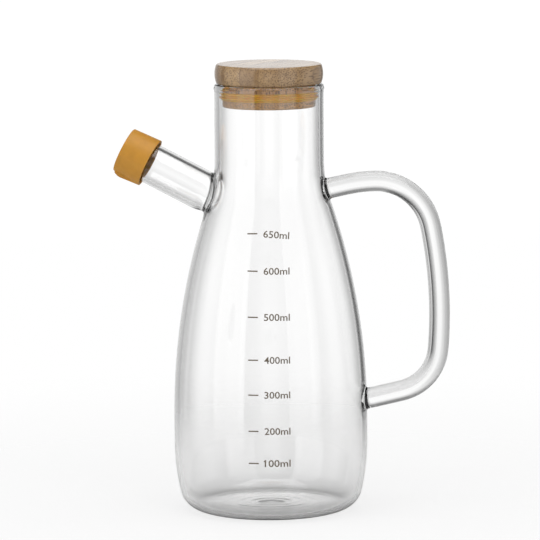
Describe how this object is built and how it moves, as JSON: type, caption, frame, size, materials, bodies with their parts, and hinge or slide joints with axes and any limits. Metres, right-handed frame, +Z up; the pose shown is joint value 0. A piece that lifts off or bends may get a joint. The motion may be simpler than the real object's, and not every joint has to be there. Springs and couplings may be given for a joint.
{
  "type": "oil bottle",
  "caption": "Pear-shaped clear glass oil bottle with a rising pouring tube, a D-shaped glass rod handle, a bamboo stopper with a seal and a soft cap on the tube.",
  "frame": {"origin": "on the bottle's axis at the level of the ring that it stands on", "axes": "+Z up along the bottle's axis, +X towards the handle, -X towards the pouring tube"},
  "size_m": [0.161, 0.0922, 0.2127],
  "materials": {
    "glass": "clear, fire-polished",
    "bamboo": "bare, sanded",
    "seal": "amber translucent silicone",
    "cap": "matt orange-yellow silicone"
  },
  "bodies": {
    "root": {"glass_bottle": "glass", "stopper": "bamboo", "seal_ring": "seal", "spout_cap": "cap"}
  },
  "joints": []
}
